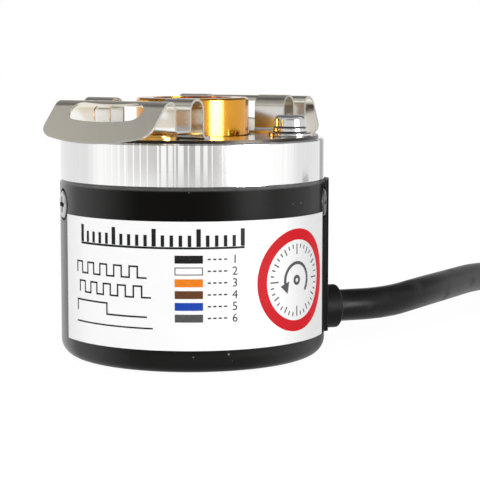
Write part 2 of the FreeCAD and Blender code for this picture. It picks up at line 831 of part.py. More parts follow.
for place, z0 in (("front", bearing_top - bearing_w), ("rear", bearing_bottom)):
    inner_ring, outer_ring, shields, balls, cage = make_bearing(z0)
    export(place + "_bearing_inner_ring", inner_ring)
    export(place + "_bearing_outer_ring", outer_ring)
    export(place + "_bearing_shields", shields)
    export(place + "_bearing_balls", balls)
    export(place + "_bearing_cage", cage)

spacer_z0 = bearing_bottom + bearing_w
export("inner_spacer", ring(shaft_d + 2 * spacer_wall, shaft_d, spacer_z0, spacer_z0 + spacer_w))
export("outer_spacer", ring(bearing_d, bearing_d - 2 * spacer_wall, spacer_z0, spacer_z0 + spacer_w))
for name, seat_d, gap_at in (("bearing_circlip", bearing_d, bearing_circlip_at),
                             ("shaft_circlip", shaft_d, shaft_circlip_at)):
    clip = split_ring(seat_d + 2 * circlip_bite, seat_d - 2 * circlip_bite,
                      circlip_bottom, bearing_bottom, circlip_gap_angle, gap_at)
    export(name, clip)

plate, film, disc_hub, disc_washer, disc_screw = make_code_disc()
export("code_disc", plate)
export("code_track", film)
export("disc_hub", disc_hub)
export("disc_washer", disc_washer)
export("disc_screw", disc_screw)

lamp_holder, lamp, reticle, light_sensor = make_reader()
export("lamp_holder", lamp_holder)
export("lamp", lamp)
export("reticle", reticle)
export("light_sensor", light_sensor)

export("circuit_board", make_board())
export("board_pillars", make_pillars())
export("board_screws", make_board_screws())
chip = box(chip_size[0], chip_size[1], chip_size[2], (chip_ring, 0), board_bottom - chip_size[2])
export("output_chip", turned(chip, chip_angle))
can = rod(capacitor_d, at(chip_ring, 0, board_bottom - capacitor_h), at(chip_ring, 0, board_bottom))
export("capacitor", turned(can, capacitor_angle))
wire_header, inner_wires = make_wiring()
export("wire_header", wire_header)
export("inner_wires", inner_wires)

export("bracket_ring", make_bracket_ring())
export("front_spring_leaf", turned(make_leaf(front_ear_slope), front_leaf_angle))
export("rear_spring_leaf", turned(make_leaf(rear_ear_slope), rear_leaf_angle))
washers, lock_washers, bracket_screws, rivets = make_bracket_fasteners()
export("bracket_washers", washers)
export("bracket_lock_washers", lock_washers)
export("bracket_screws", bracket_screws)
export("bracket_rivets", rivets)

export("cable_bushing", make_bushing())
export("cable_crimp", make_crimp())
export("cable", make_cable())
coil, tie = make_coil()
export("cable_coil", coil)
export("cable_tie", tie)
jacket, leads = make_tail()
export("cable_tail", jacket)
for colour, lead in zip(lead_colours, leads):
    export("lead_" + colour, lead)
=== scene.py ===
# %% [markdown]
# # A hollow shaft rotary encoder
# The encoder is a small round sensor that slips over a machine's shaft: a brass hub turns with the
# shaft, and a bent spring bracket keeps the housing still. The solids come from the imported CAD
# model. This lesson adds the camera, the light, the free cable, the printed label and the finishes.

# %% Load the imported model
import math

import bmesh
import bpy
from mathutils import Matrix, Vector


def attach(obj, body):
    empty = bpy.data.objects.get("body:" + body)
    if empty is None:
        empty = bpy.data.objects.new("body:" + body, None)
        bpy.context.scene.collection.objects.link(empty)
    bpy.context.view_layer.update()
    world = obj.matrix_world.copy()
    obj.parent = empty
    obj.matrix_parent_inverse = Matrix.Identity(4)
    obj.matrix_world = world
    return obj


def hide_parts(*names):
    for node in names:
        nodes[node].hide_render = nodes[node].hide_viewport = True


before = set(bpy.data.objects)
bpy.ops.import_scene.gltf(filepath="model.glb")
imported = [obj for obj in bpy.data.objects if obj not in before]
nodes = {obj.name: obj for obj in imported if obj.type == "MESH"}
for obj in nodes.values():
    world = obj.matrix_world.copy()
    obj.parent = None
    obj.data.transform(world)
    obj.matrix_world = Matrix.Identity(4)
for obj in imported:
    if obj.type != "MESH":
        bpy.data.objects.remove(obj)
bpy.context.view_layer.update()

mm = 0.001

# %% [markdown]
# ## The camera
# The photograph was taken from a quarter of a metre away, a little above the top face, with a long
# lens. The place, tilt and lens were fitted to edges that show in it, so there is no lens shift.

# %% Camera
eye = Vector((0.0, -250.0, 45.45)) * mm
tilt_down = math.radians(6.486)
turn_right = math.radians(1.650)

camera_data = bpy.data.cameras.new("photo_camera")
camera_data.lens = 123.42
camera_data.sensor_width = 36.0
camera_data.clip_start = 0.01
camera = bpy.data.objects.new("photo_camera", camera_data)
camera.location = eye
camera.rotation_euler = (math.pi / 2 - tilt_down, 0.0, -turn_right)
bpy.context.collection.objects.link(camera)
bpy.context.scene.camera = camera
bpy.context.scene.view_settings.view_transform = "Standard"
print("camera at", tuple(round(v, 4) for v in eye))

# %% [markdown]
# ## Shader maths as Python
# A finish is a graph of nodes. `Value` wraps one output socket, so that `1 - mask * 0.5` adds the
# Math nodes by itself, and `Graph.node` adds any other node from its type, settings and inputs.

# %% Shader helpers
class Value:
    """An output socket that takes part in Python expressions."""

    def __init__(self, graph, socket):
        self.graph = graph
        self.socket = socket

    def math(self, operation, *others):
        return self.graph.node("ShaderNodeMath", {"operation": operation}, [self, *others])[0]

    def __add__(self, other):
        return self.math("ADD", other)

    def __sub__(self, other):
        return self.math("SUBTRACT", other)

    def __mul__(self, other):
        return self.math("MULTIPLY", other)

    def __rsub__(self, other):
        return self.graph.node("ShaderNodeMath", {"operation": "SUBTRACT"}, [other, self])[0]

    __radd__ = __add__
    __rmul__ = __mul__


class Graph:
    """A node tree that is built by expressions."""

    def __init__(self, tree):
        self.tree = tree

    def node(self, kind, settings=None, inputs=()):
        made = self.tree.nodes.new(kind)
        for name, value in (settings or {}).items():
            setattr(made, name, value)
        pairs = inputs.items() if isinstance(inputs, dict) else enumerate(inputs)
        for key, value in pairs:
            if isinstance(value, Value):
                self.tree.links.new(value.socket, made.inputs[key])
            else:
                made.inputs[key].default_value = value
        return [Value(self, socket) for socket in made.outputs]

    def step(self, value, low, high):
        """0 below low, 1 above high and smooth between."""
        inputs = {"Value": value, "From Min": low, "From Max": high}
        return self.node("ShaderNodeMapRange", {"interpolation_type": "SMOOTHSTEP"}, inputs)[0]

    def mix(self, factor, first, second):
        """A colour between two, as a Mix node makes it."""
        inputs = {0: factor, 6: first, 7: second}
        return self.node("ShaderNodeMix", {"data_type": "RGBA"}, inputs)[2]


def grey(level):
    return (level, level, level, 1.0)


def rgb(red, green, blue):
    return (red, green, blue, 1.0)


class Finish(Graph):
    """A new material, with the object's own coordinates at hand."""

    def __init__(self, name):
        self.material = bpy.data.materials.new(name)
        self.material.use_nodes = True
        super().__init__(self.material.node_tree)
        self.tree.nodes.clear()
        self.place = self.node("ShaderNodeTexCoord")[3]
        self.x, self.y, self.z = self.node("ShaderNodeSeparateXYZ", None, [self.place])

    def noise(self, scale, detail=2.0, stretch=(1.0, 1.0, 1.0), turn=0.0):
        where = self.place
        if stretch != (1.0, 1.0, 1.0) or turn:
            mapping = {"Vector": self.place, "Scale": stretch, "Rotation": (0.0, 0.0, turn)}
            where = self.node("ShaderNodeMapping", None, mapping)[0]
        inputs = {"Vector": where, "Scale": scale, "Detail": detail}
        return self.node("ShaderNodeTexNoise", None, inputs)[0]

    def lines(self, value, scale, detail=2.0):
        """Noise along one number, such as an angle or a radius."""
        return self.node("ShaderNodeTexNoise", {"noise_dimensions": "1D"},
                         {"W": value, "Scale": scale, "Detail": detail})[0]

    def angle(self):
        """The angle about the shaft's axis, from the x axis."""
        return self.y.math("ARCTAN2", self.x)

    def radius(self):
        """The distance from the shaft's axis."""
        return (self.x * self.x + self.y * self.y).math("SQRT")

    def dot(self, vector, direction):
        """How far a vector points in a direction."""
        settings = {"operation": "DOT_PRODUCT"}
        return self.node("ShaderNodeVectorMath", settings, [vector, direction])[1]

    def specks(self, scale, size):
        """Small dots, as dust makes: 1 in a dot and 0 elsewhere."""
        near = self.node("ShaderNodeTexVoronoi", None, {"Vector": self.place, "Scale": scale})[0]
        return 1.0 - self.step(near, size * 0.6, size)

    def bump(self, height, strength, depth):
        inputs = {"Height": height, "Strength": strength, "Distance": depth}
        return self.node("ShaderNodeBump", None, inputs)[0]

    def done(self, color, roughness, normal=None, **others):
        """The surface itself; `others` holds more of its sockets by name."""
        inputs = {"Base Color": color, "Roughness": roughness}
        if normal is not None:
            inputs["Normal"] = normal
        for name, value in others.items():
            inputs[name.replace("_", " ").title().replace("Ior", "IOR")] = value
        shader = self.node("ShaderNodeBsdfPrincipled", None, inputs)[0]
        self.node("ShaderNodeOutputMaterial", None, {"Surface": shader})
        return self.material


print("shader helpers ready")

# %% [markdown]
# ## Floor, surroundings and light
# Polished metal shows its surroundings, so they matter more here than the lamps. In the photograph
# everything round the encoder is white, with a dim ceiling, a dim place where the camera stands,
# and dark walls high up behind and at the left. The world makes them from the ray's direction; the
# camera itself sees plain white. Two of the lamps light only the dull pieces and stay out of mirror
# images; the third is the bright stripe on the hub.

# %% Surroundings
world = bpy.data.worlds.new("studio")
world.use_nodes = True
bpy.context.scene.world = world
world.node_tree.nodes.clear()
studio = Graph(world.node_tree)
ray = studio.node("ShaderNodeTexCoord")[0]
ray_x, ray_y, ray_z = studio.node("ShaderNodeSeparateXYZ", None, [ray])
ceiling_dim, camera_dim, wall_dim = 0.66, 0.6, 0.72
ceiling = studio.step(ray_z, 0.64, 0.84)
camera_side = studio.step(0.0 - ray_y, 0.72, 0.97)
behind = studio.step(ray_y, 0.30, 0.38) * studio.step(ray_z, 0.24, 0.34)
left_side = studio.step(0.0 - ray_x, 0.67, 0.73) * studio.step(ray_z, 0.50, 0.58)
dark_wall = behind.math("MAXIMUM", left_side)
level = (1.0 - ceiling * ceiling_dim) * (1.0 - camera_side * camera_dim)
level = level * (1.0 - dark_wall * wall_dim)
shade = studio.mix(level, grey(0.0), grey(1.0))
is_camera = studio.node("ShaderNodeLightPath")[0]
around_it = studio.node("ShaderNodeBackground", None, {"Color": shade, "Strength": 0.95})[0]
backdrop = studio.node("ShaderNodeBackground", None, {"Color": grey(1.0), "Strength": 1.0})[0]
seen = studio.node("ShaderNodeMixShader", None, [is_camera, around_it, backdrop])[0]
studio.node("ShaderNodeOutputWorld", None, {"Surface": seen})

# %% Floor
floor_half, floor_z = 3.0, -0.05 * mm
floor_mesh = bpy.data.meshes.new("floor")
sheet = bmesh.new()
bmesh.ops.create_grid(sheet, x_segments=1, y_segments=1, size=floor_half,
                      matrix=Matrix.Translation((0.0, 0.0, floor_z)))
sheet.to_mesh(floor_mesh)
sheet.free()
floor = bpy.data.objects.new("floor", floor_mesh)
bpy.context.collection.objects.link(floor)

sweep = bpy.data.materials.new("white_sweep")
sweep.use_nodes = True
sweep.node_tree.nodes.clear()
paper = Graph(sweep.node_tree)
path = paper.node("ShaderNodeLightPath")
by_camera, by_mirror, through_glass = path[0], path[3], path[6]
direct = by_camera.math("MAXIMUM", by_mirror).math("MAXIMUM", through_glass)
matte = paper.node("ShaderNodeBsdfDiffuse", None, {"Color": grey(0.9)})[0]
spot = paper.node("ShaderNodeTexCoord")[3]
spot_x, spot_y, _ = paper.node("ShaderNodeSeparateXYZ", None, [spot])
to_tripod = 0.28
ahead = spot_y + to_tripod
from_tripod = (spot_x * spot_x + ahead * ahead).math("SQRT")
# painted shade: for mirror rays the floor's glow is dimmed round the spot where the camera's tripod
# stands
dim = (1.0 - paper.step(from_tripod, 0.08, 0.18)) * (1.0 - by_camera)
glow_with_painted_shade = paper.mix(dim * 0.42, grey(1.0), grey(0.0))
glow = paper.node("ShaderNodeEmission", None, {"Color": glow_with_painted_shade, "Strength": 1.06})[0]
blend = paper.node("ShaderNodeMixShader", None, [direct * 0.9, matte, glow])[0]
paper.node("ShaderNodeOutputMaterial", None, {"Surface": blend})
floor_mesh.materials.append(sweep)

# %% Lamps
def softbox(name, place, target, size, power):
    data = bpy.data.lights.new(name, "AREA")
    data.shape = "RECTANGLE"
    data.size, data.size_y = size
    data.energy = power
    lamp = bpy.data.objects.new(name, data)
    lamp.location = place
    aim = Vector(target) - Vector(place)
    lamp.rotation_euler = aim.to_track_quat("-Z", "Y").to_euler()
    bpy.context.collection.objects.link(lamp)
    return lamp


middle = (0.0, 0.0, 0.02)
key = softbox("key", (-0.55, -0.65, 0.6), middle, (0.5, 0.5), 3.6)
fill = softbox("fill", (0.7, -0.35, 0.4), middle, (0.5, 0.5), 2.4)
key.visible_glossy = fill.visible_glossy = False
strip = softbox("strip", (0.1655, -0.1449, 0.045), (0.0, 0.0, 0.045), (0.10, 0.075), 0.52)
strip.visible_diffuse = False

# %% [markdown]
# ## The free cable
# The real cable is about two metres long. The photograph shows its first few centimetres; the rest
# is put away as a tied coil outside the view. It is one NURBS line: the listed route, then the
# turns of the coil by a loop, then the loose end.

# %% Cable line
cable_d = 5.0 * mm
outlet_z = 5.9 * mm
start_r, exit_r = 12.5 * mm, 23.4 * mm
pad_way = math.radians(15.0)
outlet = Vector((math.cos(pad_way), math.sin(pad_way), 0.0))
cable_start = outlet * start_r + Vector((0.0, 0.0, outlet_z))
cable_exit = outlet * exit_r + Vector((0.0, 0.0, outlet_z))
route = [Vector(point) * mm for point in (
    (31.0, 11.0, 5.6), (38.0, 19.4, 6.15), (44.3, 31.0, 5.75),
    (50.5, 43.2, 5.3), (57.2, 55.6, 3.9), (65.0, 67.6, 2.5))]
coil_centre = Vector((93.0, 54.2, 0.0)) * mm


def by_coil(angle, radius, height):
    """A point about the coil's own axis: degrees and millimetres."""
    turn = math.radians(angle)
    return coil_centre + Vector((radius * math.cos(turn), radius * math.sin(turn), height)) * mm


columns = (32.4, 27.5, 22.6)
layers = (3.3, 8.0, 12.7, 17.4)
turn_places = []
for i, height in enumerate(layers):
    for radius in columns if i % 2 == 0 else columns[::-1]:
        turn_places.append((radius, height))

steps = 16
turns = 11
first_angle = 154.4
change_from, change_for = 0.72, 0.28  # the share of a turn that climbs to the next place
stretch = 1.0 / math.cos(math.pi / steps)
coil_points = []
for k in range(1, turns * steps):
    done, part = divmod(k / steps, 1.0)
    (r0, z0), (r1, z1) = turn_places[int(done)], turn_places[int(done) + 1]
    change = min(max((part - change_from) / change_for, 0.0), 1.0)
    radius = (r0 + (r1 - r0) * change) * stretch
    height = z0 + (z1 - z0) * change
    coil_points.append(by_coil(first_angle - 360.0 * k / steps, radius, height))

loose_end = [by_coil(*point) for point in (
    (152, 33.2, 17.4), (130, 34.6, 17.2), (112, 38.0, 15.0), (96, 39.2, 10.8), (80, 39.0, 6.2),
    (66, 38.6, 3.0), (54, 38.4, 2.5), (40, 38.2, 2.5), (25, 37.7, 2.5))]


def cord_line(name, points, diameter):
    """A round NURBS cord through its control points."""
    data = bpy.data.curves.new(name, "CURVE")
    data.dimensions = "3D"
    data.bevel_depth = 1.0
    data.bevel_resolution = 5
    data.resolution_u = 6
    data.use_fill_caps = True
    spline = data.splines.new("NURBS")
    spline.points.add(len(points) - 1)
    for point, place in zip(spline.points, points):
        point.co = (*place, 1.0)
        point.radius = diameter / 2
    spline.order_u = 3
    spline.use_endpoint_u = True
    cord = bpy.data.objects.new(name, data)
    bpy.context.collection.objects.link(cord)
    return cord


cable_points = [cable_start, cable_exit] + route + coil_points + loose_end
free_cable = cord_line("free_cable", cable_points, cable_d)
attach(free_cable, "housing")
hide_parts("cable", "cable_coil", "cable_tail")
free_cable.visible_glossy = False  # the coil would darken the mirror-bright flange
print("cable control points:", len(free_cable.data.splines[0].points))

# %% [markdown]
# ## Leads and tie
# The jacket is cut back at the loose end, and six wires fan out of it and lie down on the table,
# each with a tinned tip. A strap with a small buckle holds the coil.

# %% Leads
lead_names = ("black", "white", "orange", "brown", "blue", "shield")
lead_d, tip_d = 1.2 * mm, 0.6 * mm
lead_pieces = []
tip_pieces = []
lead_slots = (5, 3, 2, 0, 1, 4)
lead_ends = (-43.0, -40.0, -42.0, -38.0, -41.0, -39.0)
# degrees and millimetres about the coil's axis, as by_coil takes them
jacket_end, jacket_r, jacket_z = 25.0, 37.7, 2.5
lying_z = lead_d / 2 / mm
bundle_r = 1.5
middle_slot, slot_pitch, fan_middle = 2.5, 1.7, 2.7
tip_steps = (-1.2, 1.0, 3.2)
end_turn, straight_run = math.radians(jacket_end), 3.9 * mm
straight = Vector((math.sin(end_turn), -math.cos(end_turn), 0.0)) * straight_run
# how far along, spread and still lifted a lead is at each of its points
shares = ((0.0, 0.0, 1.0), (0.26, 0.6, 0.7), (0.48, 0.95, 0.2), (0.74, 1.0, 0.0), (1.0, 1.0, 0.0))
for i, colour in enumerate(lead_names):
    side = 2 * math.pi * i / len(lead_names)
    out, top = bundle_r * math.cos(side), jacket_z + bundle_r * math.sin(side)
    fan = (lead_slots[i] - middle_slot) * slot_pitch + fan_middle
    run = jacket_end - lead_ends[i]
    points = []
    for along, spread, rise in shares:
        reach = jacket_r + out + (fan - out) * spread
        points.append(by_coil(jacket_end - run * along, reach, lying_z + (top - lying_z) * rise))
    points.insert(1, points[0] + straight)
    lead = cord_line("wire_" + colour, points, lead_d)
    way = (points[-1] - points[-2]).normalized()
    tip_points = [points[-1] + way * (step * mm) for step in tip_steps]
    tip = cord_line("tip_" + colour, tip_points, tip_d)
    for piece in (lead, tip):
        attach(piece, "housing")
    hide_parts("lead_" + colour)
    lead_pieces.append(lead)
    tip_pieces.append(tip)
print("leads:", len(lead_pieces))


# %% Mesh helpers
def new_piece(name, bm, body="housing"):
    """A bmesh becomes an object that rides on a body."""
    mesh = bpy.data.meshes.new(name)
    bm.to_mesh(mesh)
    bm.free()
    piece = bpy.data.objects.new(name, mesh)
    bpy.context.collection.objects.link(piece)
    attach(piece, body)
    return piece


def block(bm, size, centre, round_off):
    """A box with rounded edges, added to a bmesh."""
    shape = Matrix.Translation(centre) @ Matrix.Diagonal((*size, 1.0))
    corners = bmesh.ops.create_cube(bm, size=1.0, matrix=shape)["verts"]
    edges = list(dict.fromkeys(edge for corner in corners for edge in corner.link_edges))
    bmesh.ops.bevel(bm, geom=edges, offset=round_off, segments=3, profile=0.5,
                    affect="EDGES", material=-1)


# %% Tie round the coil
tie_turn = math.radians(300.0)
strap = bmesh.new()
wide, high, mid_r = 16.6 * mm, 19.9 * mm, 27.5 * mm
band_w, band_thick, band_round = 4.0 * mm, 0.8 * mm, 2.2 * mm
lift = 0.05 * mm
band_place = Matrix.Translation((mid_r, 0.0, high / 2 + lift))
band_size = Matrix.Diagonal((wide, band_w, high, 1.0))
bmesh.ops.create_cube(strap, size=1.0, matrix=band_place @ band_size)
open_ends = [face for face in strap.faces if abs(face.normal.y) > 0.9]
bmesh.ops.delete(strap, geom=open_ends, context="FACES_ONLY")
corner_edges = []
for edge in strap.edges:
    first, second = (corner.co for corner in edge.verts)
    if abs((first - second).normalized().y) > 0.9:
        corner_edges.append(edge)
bmesh.ops.bevel(strap, geom=corner_edges, offset=band_round, segments=5, profile=0.5,
                affect="EDGES", material=-1)
bmesh.ops.recalc_face_normals(strap, faces=strap.faces)
bmesh.ops.solidify(strap, geom=strap.faces, thickness=band_thick)
buckle_size = (3.4 * mm, 5.4 * mm, 5.0 * mm)
band_end_size = (0.9 * mm, 3.2 * mm, 7.0 * mm)
block(strap, buckle_size, (mid_r + wide / 2 + 1.0 * mm, 0.0, 11.0 * mm), 0.5 * mm)
block(strap, band_end_size, (mid_r + wide / 2 + 1.4 * mm, 0.0, 16.2 * mm), 0.3 * mm)
bmesh.ops.recalc_face_normals(strap, faces=strap.faces)
to_coil = Matrix.Translation(coil_centre) @ Matrix.Rotation(tie_turn, 4, "Z")
bmesh.ops.transform(strap, matrix=to_coil, verts=strap.verts)
coil_strap = new_piece("coil_strap", strap)
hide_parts("cable_tie")
print("strap faces:", len(coil_strap.data.polygons))

# %% [markdown]
# ## Finishes for the metal
# Turned, ground and rolled metal all show fine lines that follow how they were made: along the
# housing for the drawn bar, round the axis on turned faces, along the strip on spring sheet. One
# noise along an angle or a radius gives the lines, and drives colour, roughness and bump together.

# %% Metal finishes
def turned_aluminium():
    """Bright side with streaks whose painted glints are strongest at the front, painted shade at
    its two ends, and a dark line by the cable pad that is a painted reflection of it.
    """
    f = Finish("turned_aluminium")
    angle, radius = f.angle(), f.radius()
    streaks, front = 108.0, math.radians(91.0)
    drawn = f.lines(angle, 20.0, 1.0)
    fine = f.lines(angle, 64.0, 1.0)
    rings = f.lines(radius, 5200.0, 2.0)
    side = f.step(radius, 19.3 * mm, 19.7 * mm)
    wave = (angle * streaks + drawn * 9.0).math("SINE")
    bright = f.step(wave + fine * 1.6, 0.7, 1.4)
    high = f.step(f.z, 25.9 * mm, 30.8 * mm) * 0.55 + 0.45
    # painted glints: the streaks' contrast is strongest at the front, where the light glints on the
    # grooves; it also fades towards the bottom
    glint_front = f.step(((angle + front) * 2.0).math("COSINE"), 0.3, 0.8) * 0.85 + 0.15
    dull = side * (1.0 - bright) * glint_front * high + (1.0 - side) * (1.0 - rings) * 0.4
    # painted shade: the side is greyer towards its left and right ends
    ends = side * f.step(f.x.math("ABSOLUTE"), 13.5 * mm, 15.5 * mm)
    bright_with_shaded_ends = f.mix(ends, rgb(0.93, 0.93, 0.925), grey(0.74))
    color = f.mix(dull, bright_with_shaded_ends, rgb(0.65, 0.64, 0.635))
    # painted reflection: a dark line beside the cable pad stands for the black pad mirrored in the
    # side
    past_pad_reflection = f.step(angle, math.radians(-13.5), math.radians(-10.5))
    line = side * f.step(angle, math.radians(-21.0), math.radians(-18.0)) * (1.0 - past_pad_reflection)
    color = f.mix(line * 0.9, color, grey(0.08))
    normal = f.bump(dull, 0.06, 0.02 * mm)
    return f.done(color, 0.1 + dull * 0.12, normal, metallic=1.0)


def polished_brass():
    f = Finish("polished_brass")
    turned = f.lines(f.z, 9000.0, 2.0) * 0.5 + f.lines(f.radius(), 6000.0, 2.0) * 0.5
    stain = f.step(f.noise(160.0, 3.0), 0.45, 0.75)
    color = f.mix(stain * 0.5, rgb(0.70, 0.325, 0.038), rgb(0.62, 0.265, 0.028))
    return f.done(color, 0.10 + turned * 0.08, f.bump(turned, 0.04, 0.01 * mm), metallic=1.0)


def spring_sheet(name, leaf_angle, ear_slope, lean=0.0):
    """Bright rolled sheet with dull cut edges: the sides of the strip and the rim of the ear.

    `lean` tips the shading of the legs next to the hub a little upwards.
    """
    f = Finish(name)
    turn, down = math.radians(leaf_angle), math.radians(ear_slope)
    out_x, out_y = math.cos(turn), math.sin(turn)
    facing = f.node("ShaderNodeTexCoord")[1]
    across = f.dot(facing, (-out_y, out_x, 0.0)).math("ABSOLUTE")
    along = f.dot(facing, (out_x * math.cos(down), out_y * math.cos(down), -math.sin(down)))
    reach = f.x * out_x + f.y * out_y
    ear_rim = f.step(along, 0.7, 0.9) * f.step(reach, 23.0 * mm, 23.3 * mm)
    cut = f.step(across, 0.55, 0.8).math("MAXIMUM", ear_rim)
    roll_turn = math.radians(-235.0)
    rolled = f.noise(900.0, 3.0, (1.0, 0.05, 1.0), roll_turn)
    cloud = f.noise(120.0, 2.0)
    face = f.mix(rolled, rgb(0.775, 0.73, 0.635), rgb(0.91, 0.86, 0.755))
    # painted reflection: the legs inside the ear and below the top are painted brighter, for the
    # white surroundings mirrored in them
    inside_ear = 1.0 - f.step(reach, 18.3 * mm, 18.8 * mm)
    below_top = 1.0 - f.step(f.z, 36.6 * mm, 37.6 * mm)
    face = f.mix(inside_ear * below_top, face, rgb(0.93, 0.915, 0.89))
    color = f.mix(cut, face, rgb(0.46, 0.445, 0.41))
    roughness = 0.12 + rolled * 0.12 + cloud * 0.06 + cut * 0.25
    by_hub = 1.0 - f.step(reach, 12.3 * mm, 13.1 * mm)
    loop_top = 39.0
    height = rolled * 0.002 + (loop_top - f.z * (1.0 / mm)) * by_hub * lean
    return f.done(color, roughness, f.bump(height, 1.0, 1.0 * mm), metallic=1.0)


def ring_sheet():
    """The same sheet with a dark outer rim: painted shade and a painted dark reflection at the
    ring's edge.
    """
    f = Finish("ring_sheet")
    # painted shade and dark reflection along the outer rim
    rim = f.step(f.radius(), 18.86 * mm, 18.96 * mm)
    rolled = f.noise(900.0, 3.0, (1.0, 0.05, 1.0))
    face = f.mix(rolled, rgb(0.66, 0.64, 0.59), rgb(0.78, 0.76, 0.70))
    color = f.mix(rim, face, rgb(0.035, 0.03, 0.026))
    roughness = 0.1 + rolled * 0.1 + rim * 0.2
    return f.done(color, roughness, f.bump(rolled, 0.08, 0.02 * mm), metallic=1.0)


def plated_steel():
    """Bright plating, with painted shade in the seams above and below the bracket's lock washers.
    """
    f = Finish("plated_steel")
    cloud = f.noise(700.0, 3.0)
    color = f.mix(cloud, grey(0.52), grey(0.66))
    for seam_z in (33.7 * mm, 34.5 * mm):
        # painted shade in the gaps between the screw heads and the washers
        seam_shade = 1.0 - f.step((f.z - seam_z).math("ABSOLUTE"), 0.05 * mm, 0.16 * mm)
        color = f.mix(seam_shade * 0.92, color, grey(0.03))
    return f.done(color, 0.04 + cloud * 0.1, f.bump(cloud, 0.06, 0.02 * mm), metallic=1.0)


def yellow_zinc():
    f = Finish("yellow_zinc")
    cloud = f.step(f.noise(900.0, 3.0), 0.35, 0.65)
    # painted reflection: the rivets are tinted gold all over, for the brass hub mirrored in them
    color = f.mix(cloud, rgb(0.62, 0.31, 0.05), rgb(0.72, 0.5, 0.2))
    return f.done(color, 0.16 + cloud * 0.12, f.bump(cloud, 0.1, 0.02 * mm), metallic=1.0)


def blackened_steel():
    f = Finish("blackened_steel")
    worn = f.step(f.noise(900.0, 4.0), 0.52, 0.7)
    color = f.mix(worn, grey(0.035), grey(0.2))
    return f.done(color, 0.28 + worn * 0.15, f.bump(worn, 0.1, 0.02 * mm), metallic=1.0)


def browned_steel():
    """Dark screws; the face of the left one is light and metallic."""
    f = Finish("browned_steel")
    worn = f.step(f.noise(700.0, 4.0), 0.45, 0.7)
    color = f.mix(worn, grey(0.03), grey(0.11))
    left_axis = math.radians(197.0)
    reach = f.x * math.cos(left_axis) + f.y * math.sin(left_axis)
    light_face = f.step(reach, 20.05 * mm, 20.17 * mm)
    color = f.mix(light_face, color, f.mix(worn, grey(0.46), grey(0.34)))
    roughness = 0.34 + worn * 0.12 - light_face * 0.2
    return f.done(color, roughness, f.bump(worn, 0.1, 0.02 * mm), metallic=light_face,
                  specular_ior_level=0.2)


def ground_steel():
    f = Finish("ground_steel")
    rings = f.lines(f.radius(), 7000.0, 2.0)
    color = f.mix(rings, grey(0.6), grey(0.78))
    return f.done(color, 0.14 + rings * 0.14, f.bump(rings, 0.06, 0.02 * mm), metallic=1.0)


def pressed_brass():
    f = Finish("pressed_brass")
    cloud = f.noise(500.0, 3.0)
    color = f.mix(cloud, rgb(0.62, 0.40, 0.14), rgb(0.78, 0.54, 0.22))
    return f.done(color, 0.24 + cloud * 0.14, metallic=1.0)


def drawn_can():
    f = Finish("drawn_can")
    lines = f.noise(1500.0, 2.0, (1.0, 1.0, 0.05))
    return f.done(f.mix(lines, grey(0.62), grey(0.8)), 0.22 + lines * 0.15, metallic=1.0)


def drain_wire():
    f = Finish("drain_wire")
    twist = f.lines(f.x + f.y + f.z * 2.0, 2600.0, 0.0)
    color = f.mix(twist, rgb(0.36, 0.33, 0.3), rgb(0.72, 0.70, 0.66))
    return f.done(color, 0.3 + twist * 0.1, f.bump(twist, 0.5, 0.1 * mm), metallic=1.0)


# %% [markdown]
# ## Finishes for plastic, rubber, film and glass
# Moulded plastic has a fine grain and picks up dust; rubber is duller; the label is a film with a
# soft sheen. The optical disc carries fine dark lines, which come from the angle about the axis.

# %% Plastic finishes
def moulded_black():
    """Deep black, painted lighter towards the sides and the foot as a painted sheen, with a paler
    rim and dust.

    It is glossier at the left and duller next to the cable pad.
    """
    f = Finish("moulded_black")
    grain = f.noise(5200.0, 2.0)
    cloud = f.noise(140.0, 3.0)
    dust = f.specks(420.0, 0.08) * f.step(cloud, 0.5, 0.62)
    rim = f.step(f.z, 26.0 * mm, 26.35 * mm) * (f.noise(900.0, 3.0) * 0.4 + 0.6)
    off_pad = 1.0 - f.step(f.radius(), 20.15 * mm, 20.3 * mm)
    left = f.step(0.0 - f.x, 7.0 * mm, 19.0 * mm)
    right = f.step(f.x, 7.0 * mm, 19.0 * mm) * (1.0 - f.step(f.x, 17.5 * mm, 19.2 * mm))
    foot = 1.0 - f.step(f.z, 2.0 * mm, 5.0 * mm)
    # painted sheen: a lighter colour towards the left and right sides and the foot
    painted_sheen = (left * 0.11 + right * 0.075 + foot * 0.02) * off_pad
    color = f.mix(dust * 0.6 + rim * 0.22 + painted_sheen, rgb(0.0030, 0.0027, 0.0024), grey(0.5))
    above_foot = f.step(f.z, 3.0 * mm, 4.0 * mm)
    by_pad = f.step(f.x, 18.6 * mm, 19.4 * mm) * above_foot * off_pad
    roughness = 0.27 + cloud * 0.14 + by_pad * 0.55
    gloss = f.step(0.0 - f.x, 16.5 * mm, 19.4 * mm) * 0.5
    return f.done(color, roughness, f.bump(grain, 0.2, 0.01 * mm), specular_ior_level=0.05,
                  coat_weight=gloss, coat_roughness=0.2)


def moulded(name, color, light, roughness, grain_scale=4000.0, shine=0.4):
    f = Finish(name)
    grain = f.noise(grain_scale, 2.0)
    cloud = f.noise(260.0, 3.0)
    return f.done(f.mix(cloud, color, light), roughness + cloud * 0.12,
                  f.bump(grain, 0.2, 0.015 * mm), specular_ior_level=shine)


def label_film():
    """White film, with painted shade that makes it a little greyer towards its two ends."""
    f = Finish("label_film")
    fibre = f.noise(2400.0, 3.0)
    cloud = f.noise(90.0, 2.0)
    color = f.mix(cloud, rgb(0.95, 0.95, 0.955), grey(0.975))
    # painted shade towards the right and left ends of the film
    color = f.mix(f.step(f.x, 11.5 * mm, 19.0 * mm), color, grey(0.74))
    color = f.mix(f.step(0.0 - f.x, 14.5 * mm, 19.5 * mm), color, grey(0.84))
    return f.done(color, 0.34 + fibre * 0.1, f.bump(fibre, 0.08, 0.01 * mm))


